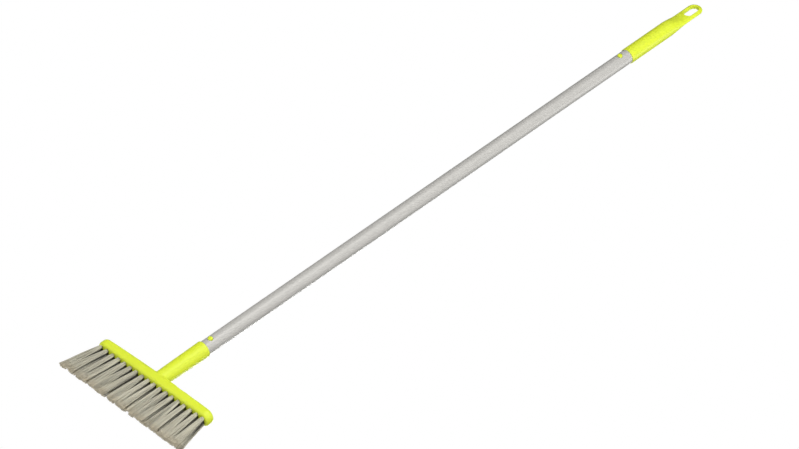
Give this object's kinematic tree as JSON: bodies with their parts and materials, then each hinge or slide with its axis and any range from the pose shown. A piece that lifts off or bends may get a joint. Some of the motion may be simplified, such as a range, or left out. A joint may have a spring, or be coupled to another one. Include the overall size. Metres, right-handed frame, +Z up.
{
  "type": "push broom",
  "caption": "Straight-headed broom with soft flagged bristles, a slim grey tube handle, a lime head and a grip with a hanging slot; domed snap buttons lock both ends of the tube.",
  "frame": {"origin": "on the handle's axis, at the top of the hanging slot, where a hook or peg carries the broom", "axes": "+Z up the handle towards the grip, X along the head, -Y the front, which the snap buttons and the hanging slot face"},
  "size_m": [0.271, 0.0294, 1.3345],
  "materials": {
    "lime_plastic": "satin moulded lime green polypropylene",
    "tube_paint": "satin warm grey coating on thin steel tube",
    "bristle": "fine flagged synthetic filament, warm grey-beige",
    "anchor_wire": "flat galvanised staple wire",
    "spring_steel": "drawn spring wire"
  },
  "bodies": {
    "broom": {"head_block": "lime_plastic", "lower_spigot": "lime_plastic", "lower_button_spring": "spring_steel", "handle_tube": "tube_paint", "upper_spigot": "lime_plastic", "upper_button_spring": "spring_steel", "grip": "lime_plastic", "tufts_front": "bristle", "tufts_middle": "bristle", "tufts_rear": "bristle", "tuft_anchors_front": "anchor_wire", "tuft_anchors_middle": "anchor_wire", "tuft_anchors_rear": "anchor_wire"},
    "lower_button": {"lower_snap_button": "lime_plastic"},
    "upper_button": {"upper_snap_button": "lime_plastic"}
  },
  "joints": [
    {"name": "lower_button_press", "type": "slide", "parent": "broom", "child": "lower_button", "axis": [0, 1, 0], "range_m": [0, 0.0036], "stiffness_N_per_m": 500, "springref_m": -0.003, "deforming": ["lower_button_spring"]},
    {"name": "upper_button_press", "type": "slide", "parent": "broom", "child": "upper_button", "axis": [0, 1, 0], "range_m": [0, 0.0036], "stiffness_N_per_m": 500, "springref_m": -0.003, "deforming": ["upper_button_spring"]}
  ]
}
